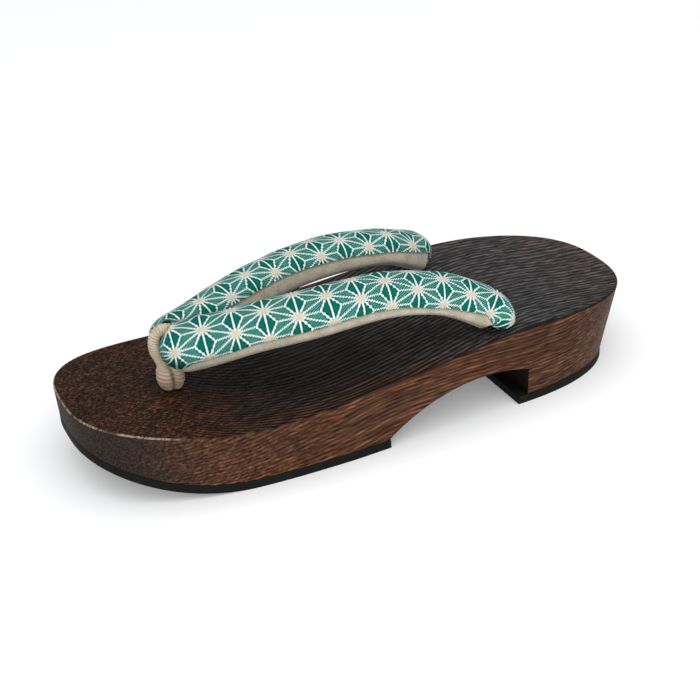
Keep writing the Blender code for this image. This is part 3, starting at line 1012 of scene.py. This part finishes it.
def buildHempLeafGroup():
    # Hemp leaf lattice on a plane whose star pitch is 1: the twelve rays of each star are the
    # edges of the triangles and the lines from their corners to their middles.
    group, given, out = newGroup(
        "hempLeaf",
        [("Vector", "NodeSocketVector", None), ("Line Half", "NodeSocketFloat", 0.03),
         ("Star Radius", "NodeSocketFloat", 0.12), ("Soft", "NodeSocketFloat", 0.012)],
        [(name, "NodeSocketFloat") for name in ("Lines", "Stars", "Leaf", "Halo")])
    look = weaveLook

    def leastOf(values):
        return doMath(group, "MINIMUM", doMath(group, "MINIMUM", values[0], values[1]), values[2])

    def mostOf(values):
        return doMath(group, "MAXIMUM", doMath(group, "MAXIMUM", values[0], values[1]), values[2])

    # Each point's three shares of the corners of its triangle
    tall = math.sqrt(3) / 2
    shares = []
    for direction in ((0, 1, 0), (tall, -0.5, 0), (-tall, -0.5, 0)):
        dot = vectorMath(group, "DOT_PRODUCT", given["Vector"], tuple(d / tall for d in direction))
        shares.append(doMath(group, "FRACT", dot))
    total = doMath(group, "ADD", doMath(group, "ADD", shares[0], shares[1]), shares[2])
    flip = doMath(group, "GREATER_THAN", total, 1.5)
    sides = [blendValues(group, flip, share, doMath(group, "SUBTRACT", 1.0, share))
             for share in shares]
    least = leastOf(sides)
    middle = doMath(group, "SUBTRACT", doMath(group, "SUBTRACT", 1.0, least), mostOf(sides))
    edge = times(group, least, tall)
    ray = times(group, doMath(group, "SUBTRACT", middle, least), 0.5)
    nearest = doMath(group, "MINIMUM", edge, ray)
    square = doMath(group, "ADD", times(group, middle, middle),
                    times(group, least, doMath(group, "ADD", least, middle)))
    fromStar = doMath(group, "SQRT", square)
    # Lines swell towards the star they start from
    width = times(group, given["Line Half"], mapRange(group, fromStar, 0.10, 0.45, *look["lineSwell"]))
    low = doMath(group, "SUBTRACT", width, given["Soft"])
    high = doMath(group, "ADD", width, given["Soft"])
    feed(group, out["Lines"], mapRange(group, nearest, high, low))
    # The ground is darkest right beside the lines
    feed(group, out["Halo"], mapRange(group, nearest, doMath(group, "ADD", high, look["halo"]), high))
    # Each star is a round spot whose colour runs a little way out along the rays
    wide, far = look["starPoints"]
    points = mapRange(group, ray, wide, 0.0, 0.0, far)
    spot = doMath(group, "SUBTRACT", fromStar, points)
    rim = doMath(group, "ADD", given["Star Radius"], given["Soft"])
    feed(group, out["Stars"], mapRange(group, spot, rim, given["Star Radius"]))
    # One leaf in three, the one whose own side is nearest, has no hatching
    own = doMath(group, "LESS_THAN", sides[0], doMath(group, "ADD", least, 0.0001))
    feed(group, out["Leaf"], own)
    return group


hempLeafGroup = buildHempLeafGroup()


def buildClothMaterial():
    look = weaveLook
    material, tree, shader = newMaterial("hemp_leaf_cotton", 0.85, Specular_IOR_Level=0.06)
    uv = addNode(tree, "ShaderNodeUVMap", uv_map="cloth").outputs["UV"]
    u, v, _ = parts(tree, uv)

    # The threads shift the print's edges a little, each by its own amount
    fibres, stray = look["fray"]
    push = vectorMath(tree, "MULTIPLY", wanderVector(tree, uv, fibres, 1.0), (stray, stray, 0.0))
    saw = doMath(tree, "FRACT", times(tree, v, look["threads"]))
    saw = doMath(tree, "SUBTRACT", saw, 0.5)
    pull = addNode(tree, "ShaderNodeCombineXYZ")
    feed(tree, pull.inputs[0], times(tree, saw, look["threadPull"]))
    spot = vectorMath(tree, "ADD", vectorMath(tree, "ADD", uv, push), pull.outputs[0])
    leaf = useGroup(tree, hempLeafGroup, Vector=spot, **{
        "Line Half": look["lineHalf"], "Star Radius": look["starRadius"]})
    across, along = look["hatch"]
    twill = sineWave(tree, timesPlus(tree, u, across, times(tree, v, along)))
    weft = sineWave(tree, times(tree, v, 2 * math.pi * look["threads"]))
    cloud = noiseAt(tree, uv, 3.0, 3.0, 0.6)
    fleck = noiseAt(tree, uv, 42.0, 2.0, 0.6)

    plain = blendColours(tree, mapRange(tree, fleck, 0.35, 0.7), look["tealDark"], look["teal"])
    hatch = times(tree, mapRange(tree, twill, 0.52, 0.96), mapRange(tree, fleck, 0.30, 0.55, 0.40, 0.95))
    ground = layered(tree, plain, (hatch, look["tealThread"]), (leaf["Leaf"], plain),
                     (mapRange(tree, cloud, 0.35, 0.7, 0.0, 0.35), look["tealCloud"]))
    ground = blendColours(tree, leaf["Halo"], ground, scaled(tree, ground, look["haloShade"]))
    lineTone = blendColours(tree, mapRange(tree, fleck, 0.3, 0.75), look["mint"], look["palest"])
    starTone = blendColours(tree, mapRange(tree, fleck, 0.40, 0.60), look["star"], look["starDark"])
    colour = layered(tree, ground, (times(tree, leaf["Lines"], 0.97), lineTone),
                     (leaf["Stars"], starTone))
    # Soft shade where the cloth turns under
    upward = parts(tree, objectCoords(tree, "Normal"))[2]
    most, darkest = look["underShade"]
    under = mapRange(tree, upward, *look["underZone"], 0.0, most)
    colour = blendColours(tree, under, colour, scaled(tree, colour, darkest))
    tree.links.new(colour, shader.inputs["Base Color"])

    height = timesPlus(tree, twill, 0.55, times(tree, weft, 0.35))
    height = timesPlus(tree, leaf["Lines"], 0.5, height)
    height = timesPlus(tree, fleck, 0.6, height)
    bumped(tree, shader, times(tree, height, look["relief"]))
    return material


def buildLiningMaterial():
    look = liningLook
    material, tree, shader = newMaterial("cream_lining", 0.92, Sheen_Weight=0.35, Sheen_Roughness=0.4,
                                         Specular_IOR_Level=0.25)
    uv = addNode(tree, "ShaderNodeUVMap", uv_map="cloth").outputs["UV"]
    coords = objectCoords(tree)
    fromSeam, along, _ = parts(tree, uv)
    count, stray = look["ribs"]
    ribs = timesPlus(tree, along, count, times(tree, noiseAt(tree, uv, 2.0, 2.0), stray))
    ribs = sineWave(tree, ribs)
    fuzz = noiseAt(tree, coords, 1500.0, 3.0, 0.65)
    cloud = noiseAt(tree, coords, 160.0, 3.0, 0.6)
    upward = parts(tree, objectCoords(tree, "Normal"))[2]
    colour = layered(
        tree, look["cream"], (mapRange(tree, cloud, 0.3, 0.7), look["pale"]),
        (times(tree, ribs, 0.22), look["ribTone"]),
        (mapRange(tree, fuzz, 0.35, 0.7, 0.0, 0.4), look["fuzzTone"]),
        # painted shade along both seams
        (mapRange(tree, fromSeam, 0.02, 0.12, 0.55, 0.0), look["seamShadeTone"]),
        # painted shade where the roll turns under
        (mapRange(tree, upward, *look["underZone"], 0.0, 0.70), look["underShadeTone"]))
    tree.links.new(colour, shader.inputs["Base Color"])
    height = timesPlus(tree, ribs, 0.4, fuzz)
    bumped(tree, shader, times(tree, height, look["relief"]))
    return material


clothMaterial = buildClothMaterial()
liningMaterial = buildLiningMaterial()


def swellCloth(grid, order):
    # The stuffing presses the cloth out between its seams, in a short simulation that holds the
    # seams and the two ends
    s = strapSizes
    first, last = s["heldRows"]
    part = grid[first:-last, ::order]
    rows, columns = part.shape[:2]
    piece = gridPiece("stuffedCloth", part, clothMaterial, np.zeros((rows, columns, 2)))
    index = np.arange(rows * columns).reshape(rows, columns)
    held = [index[:, :2], index[:, -2:], index[:2], index[-2:]]
    held = np.unique(np.concatenate([strip.ravel() for strip in held]))
    piece.vertex_groups.new(name="held").add(held.tolist(), 1.0, "REPLACE")
    cloth = piece.modifiers.new("stuffing", "CLOTH")
    settings = cloth.settings
    settings.quality = s["clothQuality"]
    settings.mass = s["clothMass"]
    settings.use_pressure = True
    settings.uniform_pressure_force = s["stuffing"]
    settings.vertex_group_mass = "held"
    settings.effector_weights.gravity = 0
    cloth.collision_settings.use_collision = False
    scene = bpy.context.scene
    for number in range(1, s["simulatedFrames"] + 1):
        scene.frame_set(number)
    swollen = piece.evaluated_get(bpy.context.evaluated_depsgraph_get())
    after = np.zeros(rows * columns * 3)
    swollen.data.vertices.foreach_get("co", after)
    bpy.data.objects.remove(piece, do_unlink=True)
    scene.frame_set(1)
    move = (after.reshape(part.shape) - part)[:, ::order]
    size = np.linalg.norm(move, axis=2, keepdims=True)
    print("cloth swelled by", round(float(size.mean()) * 1000, 3), "mm, at most",
          round(float(size.max()) * 1000, 3), "mm before the cap")
    capped = s["mostSwell"] * np.tanh(size / s["mostSwell"])
    grid[first:-last] += move / np.maximum(size, tiny) * capped


def printUv(side, path, cloth, along):
    # The print's place on the cloth, in star pitches: across from the crown, and along from the
    # nose
    s, look = strapSizes, weaveLook
    arcs = pathLength(cloth, 1)
    dome = ringShape(side, path, lambda i: section(path, i, np.linspace(0, math.pi, s["arc"] + 1), 0))
    girth = pathLength(dome, 1)[:, -1]
    crown = []
    for lift, wrap, arc in zip(seamLift(path), endWrap(path), arcs):
        angle = np.linspace(lift - wrap, math.pi + wrap, s["arc"] + 1)
        crown.append(np.interp(math.pi / 2, angle, arc))
    width = look["arcWidth"] * path["width"] * path["swell"] ** 0.5
    across = (np.array(crown)[:, None] - arcs) / np.maximum(girth, tiny)[:, None] * width[:, None]
    most, reach = look["noseLean"]
    lean = most * np.exp(-((along / reach) ** 2))[:, None]
    uv = np.zeros((*across.shape, 2))
    uv[..., 0] = (across - look["firstRow"][side]) / look["rowPitch"][side] + lean
    columns = (along - look["firstColumn"][side]) / look["columnStep"][side]
    uv[..., 1] = columns[:, None] * math.sqrt(3) / 2
    return uv


def puckerSeams(path, cloth, along):
    # Small gathers along both seams, fuller at the two ends. They push out from the middle line.
    s = strapSizes
    arcs = pathLength(cloth, 1)
    share = arcs / np.maximum(arcs[:, -1:], tiny)
    edge = np.minimum(share, 1 - share) * weaveLook["arcWidth"]
    near = np.exp(-((edge / s["puckerWidth"]) ** 2))
    stray, length = s["puckerStray"]
    wave = np.sin(along / s["puckerPitch"] * 2 * math.pi + stray * np.sin(along / length))[:, None]
    fuller = 1
    for fromEnd, key in ((along[-1] - along, "tailPucker"), (along, "nosePucker")):
        most, reach = s[key]
        fuller = fuller + most * np.exp(-((fromEnd / reach) ** 2))
    lift = s["pucker"] * near * wave * fuller[:, None]
    radial = cloth - path["centre"][:, None]
    radial /= np.linalg.norm(radial, axis=2, keepdims=True) + tiny
    return cloth + radial * (lift * (path["swell"][:, None] > 0))[..., None], radial


def buildStrap(side, label, route):
    s = strapSizes
    path = strapPath(side)
    order = 1 if side > 0 else -1       # keeps the faces outward on both straps

    # Cloth: a dome from seam to seam
    cloth = ringShape(side, path, lambda i: clothRing(path, i))
    along = pathLength(cloth[:, s["arc"] // 2])
    uv = printUv(side, path, cloth, along)
    cloth, radial = puckerSeams(path, cloth, along)
    flat = cloth.reshape(-1, 3)
    flat += radial.reshape(-1, 3) * lumps(flat, 3.0 + side)[:, None]
    fitIn(flat, side, route)
    swellCloth(cloth, order)
    fitIn(flat, side, route)
    piece = gridPiece("strap_cloth_" + label, cloth[:, ::order], clothMaterial, uv[:, ::order])
    hold(piece, "strap_cloth", "strap_upper")

    # Lining: a rolled band under the cloth, tucked in behind its edge
    lining = ringShape(side, path, lambda i: liningRing(path, i))
    fitIn(lining.reshape(-1, 3), side, route)
    under = pathLength(lining, 1)
    fromSeam = np.minimum(under, under[:, -1:] - under)
    across, lengthwise = liningLook["pitch"]
    uv = np.stack([fromSeam / across, np.repeat(along[:, None] / lengthwise, lining.shape[1], 1)], 2)
    piece = gridPiece("strap_lining_" + label, lining[:, ::order], liningMaterial, uv[:, ::order])
    hold(piece, "strap_cloth")


# Thong

cordLook = {
    "cream": (0.42, 0.335, 0.23),
    "pale": (0.55, 0.465, 0.35),
    "fuzzTone": (0.70, 0.62, 0.50),
    "lowShadeTone": (0.27, 0.175, 0.10),
    "creaseShadeTone": (0.085, 0.042, 0.020),
    "footShadeTone": (0.150, 0.100, 0.052),
    "lowZone": (0.038, 0.030),          # heights between which the cord is darkened, a painted shade towards the wood
    "footZone": (0.0325, 0.0280),
    "creaseZone": (0.0003, 0.0010),     # from the middle of the crease
    "behindZone": (-0.0010, -0.0055),   # from the hole towards the heel
    "relief": 0.00012,
}


def buildCordMaterial():
    look = cordLook
    material, tree, shader = newMaterial("cream_ribbed_cord", 0.9, Sheen_Weight=0.3,
                                         Sheen_Roughness=0.45, Specular_IOR_Level=0.25)
    coords = objectCoords(tree)
    fuzz = noiseAt(tree, coords, 1700.0, 3.0, 0.65)
    cloud = noiseAt(tree, coords, 260.0, 3.0, 0.6)
    _, y, z = parts(tree, coords)
    fromHole = doMath(tree, "SUBTRACT", y, thongSizes["holeY"])
    # Painted shade darkens the cord towards the wood
    low = mapRange(tree, z, *look["lowZone"])
    # The crease between the two lobes is darkened, a painted shade
    crease = mapRange(tree, doMath(tree, "ABSOLUTE", fromHole), *look["creaseZone"], 0.85, 0.0)
    # Painted shade darkens the foot towards the wood and towards the heel
    foot = mapRange(tree, z, *look["footZone"], 0.0, 0.62)
    behind = mapRange(tree, fromHole, *look["behindZone"], 0.0, 0.60)
    shaded = doMath(tree, "MAXIMUM", foot, times(tree, behind, low))
    colour = layered(
        tree, look["cream"], (mapRange(tree, cloud, 0.3, 0.7), look["pale"]),
        (mapRange(tree, fuzz, 0.4, 0.75, 0.0, 0.4), look["fuzzTone"]),
        (times(tree, low, 0.55), look["lowShadeTone"]), (times(tree, crease, low), look["creaseShadeTone"]),
        (shaded, look["footShadeTone"]))
    tree.links.new(colour, shader.inputs["Base Color"])
    bumped(tree, shader, times(tree, fuzz, look["relief"]))
    return material


cordMaterial = buildCordMaterial()


def buildRibTree():
    # Geometry nodes: a core along the route, and a rib round it at every step
    tree = bpy.data.node_groups.new("ribbedCord", "GeometryNodeTree")
    face = tree.interface
    face.new_socket(name="Route", in_out="INPUT", socket_type="NodeSocketGeometry")
    size = face.new_socket(name="Rib Size", in_out="INPUT", socket_type="NodeSocketFloat")
    core = face.new_socket(name="Core Share", in_out="INPUT", socket_type="NodeSocketFloat")
    finish = face.new_socket(name="Finish", in_out="INPUT", socket_type="NodeSocketMaterial")
    face.new_socket(name="Cord", in_out="OUTPUT", socket_type="NodeSocketGeometry")
    given = tree.nodes.new("NodeGroupInput").outputs
    result = tree.nodes.new("NodeGroupOutput").inputs

    def ringOf(radius, sides):
        inputs = {"Resolution": sides, "Radius": radius}
        return addNode(tree, "GeometryNodeCurvePrimitiveCircle", inputs).outputs["Curve"]

    def swept(path, profile, **more):
        inputs = {"Curve": path, "Profile Curve": profile, **more}
        return addNode(tree, "GeometryNodeCurveToMesh", inputs).outputs["Mesh"]

    radius = addNode(tree, "GeometryNodeInputRadius").outputs[0]
    coreSides, hoopSides, strandSides = thongSizes["sides"]
    tube = swept(given["Route"], ringOf(given["Core Share"], coreSides),
                 **{"Scale": radius, "Fill Caps": True})
    hoop = ringOf(doMath(tree, "SUBTRACT", 1.0, given["Rib Size"]), hoopSides)
    rib = swept(hoop, ringOf(given["Rib Size"], strandSides))
    spots = addNode(tree, "GeometryNodeCurveToPoints", {"Curve": given["Route"]}, mode="EVALUATED")
    lean = addNode(tree, "FunctionNodeRotateRotation", rotation_space="LOCAL", inputs={
        0: spots.outputs["Rotation"], 1: (thongSizes["ribTilt"], 0, 0)})
    spread = addNode(tree, "GeometryNodeInstanceOnPoints", {
        "Points": spots.outputs["Points"], "Instance": rib, "Rotation": lean.outputs[0],
        "Scale": radius})
    both = addNode(tree, "GeometryNodeJoinGeometry")
    for cordPart in (spread.outputs["Instances"], tube):
        tree.links.new(cordPart, both.inputs[0])
    real = addNode(tree, "GeometryNodeRealizeInstances", {0: both.outputs[0]})
    smooth = addNode(tree, "GeometryNodeSetShadeSmooth", {0: real.outputs[0]})
    coloured = addNode(tree, "GeometryNodeSetMaterial", {
        "Geometry": smooth.outputs[0], "Material": given["Finish"]})
    tree.links.new(coloured.outputs[0], result["Cord"])
    return tree, {"size": size.identifier, "core": core.identifier, "finish": finish.identifier}


def pressLobes(mesh, route):
    # Under the loop the two legs flatten against each other, with a fine seam between them
    s = thongSizes
    points = np.zeros(len(mesh.vertices) * 3)
    mesh.vertices.foreach_get("co", points)
    points = points.reshape(-1, 3)
    surface = float(topZ(s["holeY"])[0])
    pressTop, lobeTop, lobeFade = (share * s["height"] for share in s["lobeHeights"])
    for i, point in enumerate(points):
        above = point[2] - surface
        if above > pressTop:
            continue
        nearest = int(((route[:, :3] - point) ** 2).sum(1).argmin())
        side = 1 if nearest < len(route) / 2 else -1
        gap = (point[1] - s["holeY"]) * side - s["pressGap"]
        pressed = 0.5 * (gap + math.sqrt(gap**2 + s["pressSoft"] ** 2))
        points[i, 1] = s["holeY"] + side * (s["pressGap"] + pressed)
        low = min(1.0, max(0.0, (lobeTop - above) / lobeFade))
        points[i, 0] *= 1 + (s["lobeSpread"] - 1) * low
        points[i, 0] -= s["lobeLean"] * low
    mesh.vertices.foreach_set("co", points.ravel())
    mesh.update()


def buildThong(route):
    s = thongSizes
    curve = bpy.data.curves.new("thong_cord", "CURVE")
    curve.dimensions = "3D"
    spline = curve.splines.new("POLY")
    spline.points.add(len(route) - 1)
    for point, (x, y, z, radius) in zip(spline.points, route):
        point.co = (x, y, z, 1)
        point.radius = radius
    source = bpy.data.objects.new("thong_cord", curve)
    bpy.context.scene.collection.objects.link(source)
    tree, sockets = buildRibTree()
    modifier = source.modifiers.new("ribs", "NODES")
    modifier.node_group = tree
    modifier[sockets["size"]] = s["ribSize"]
    modifier[sockets["core"]] = s["core"]
    modifier[sockets["finish"]] = cordMaterial
    cord = bake(source)
    pressLobes(cord.data, route)
    hold(cord, "cord", "front_thong")


route = thongRoute()
buildStrap(-1, "left", route)
buildStrap(1, "right", route)
print("straps done")
buildThong(route)
print("thong done")

# Floor, light and camera

stageLook = {
    "floor": (0.87, 0.875, 0.88),
    "floorPale": (0.88, 0.885, 0.89),
    "floorSize": 4.0,
    "cameraAzimuth": -114.7,
    "cameraElevation": 29.0,
    "cameraRoll": -2.9,
    "cameraDistance": 0.578,
    "cameraAim": (0, 0, 0.020),
    "lens": 72.79,
    "sky": (0.97, 0.98, 1.0),
    "world": 0.52,
}

lights = [
    # name, place, aim, width and height, watts, colour
    ("overhead", (-0.4, 0.1, 2.0), (-0.05, 0, 0), (3.2, 3.2), 36, (1, 1, 1)),
    ("side", (-1.6, 0.75, 0.75), (0, 0, 0.02), (1.6, 1.0), 11, (1.0, 0.985, 0.96)),
    ("fill", (-1.5, -0.35, 0.28), (0, 0, 0.01), (1.4, 0.4), 7, (1, 1, 1)),
]


def buildFloor():
    # The floor glows faintly, a painted light that lifts the shadows under the sandal
    material, tree, shader = newMaterial("pale_glowing_floor", 0.9, Specular_IOR_Level=0.1,
                                         Emission_Color=(1.0, 1.0, 1.0, 1.0), Emission_Strength=0.13)
    cloud = noiseAt(tree, objectCoords(tree), 3.0, 2.0)
    colour = blendColours(tree, cloud, stageLook["floor"], stageLook["floorPale"])
    tree.links.new(colour, shader.inputs["Base Color"])
    bm = bmesh.new()
    bmesh.ops.create_grid(bm, x_segments=2, y_segments=2, size=stageLook["floorSize"])
    floor = finishPiece("floor", bm, material)


def addLight(name, place, aim, size, power, colour):
    data = bpy.data.lights.new(name, "AREA")
    data.shape = "RECTANGLE"
    data.size, data.size_y = size
    data.energy = power
    data.color = colour
    light = bpy.data.objects.new(name, data)
    bpy.context.scene.collection.objects.link(light)
    light.location = place
    light.rotation_euler = (Vector(aim) - Vector(place)).to_track_quat("-Z", "Y").to_euler()


def buildLights():
    world = bpy.data.worlds.new("studio")
    world.use_nodes = True
    bpy.context.scene.world = world
    back = world.node_tree.nodes["Background"]
    back.inputs["Color"].default_value = (*stageLook["sky"], 1.0)
    back.inputs["Strength"].default_value = stageLook["world"]
    bpy.context.scene.view_settings.view_transform = "Standard"
    for light in lights:
        addLight(*light)


def buildCamera():
    s = stageLook
    azimuth, elevation, roll = (math.radians(s[k]) for k in (
        "cameraAzimuth", "cameraElevation", "cameraRoll"))
    back = Vector((math.sin(azimuth) * math.cos(elevation), -math.cos(azimuth) * math.cos(elevation),
                   math.sin(elevation)))
    right = (-back).cross(Vector((0, 0, 1))).normalized()
    up = right.cross(-back)
    across = right * math.cos(roll) + up * math.sin(roll)
    upward = -right * math.sin(roll) + up * math.cos(roll)
    matrix = Matrix((across, upward, back)).transposed().to_4x4()
    matrix.translation = Vector(s["cameraAim"]) + back * s["cameraDistance"]
    data = bpy.data.cameras.new("camera")
    data.lens = s["lens"]
    data.sensor_width = 36
    data.clip_start = 0.01
    camera = bpy.data.objects.new("camera", data)
    bpy.context.scene.collection.objects.link(camera)
    camera.matrix_world = matrix
    bpy.context.scene.camera = camera


buildFloor()
buildLights()
buildCamera()
print("stage done")
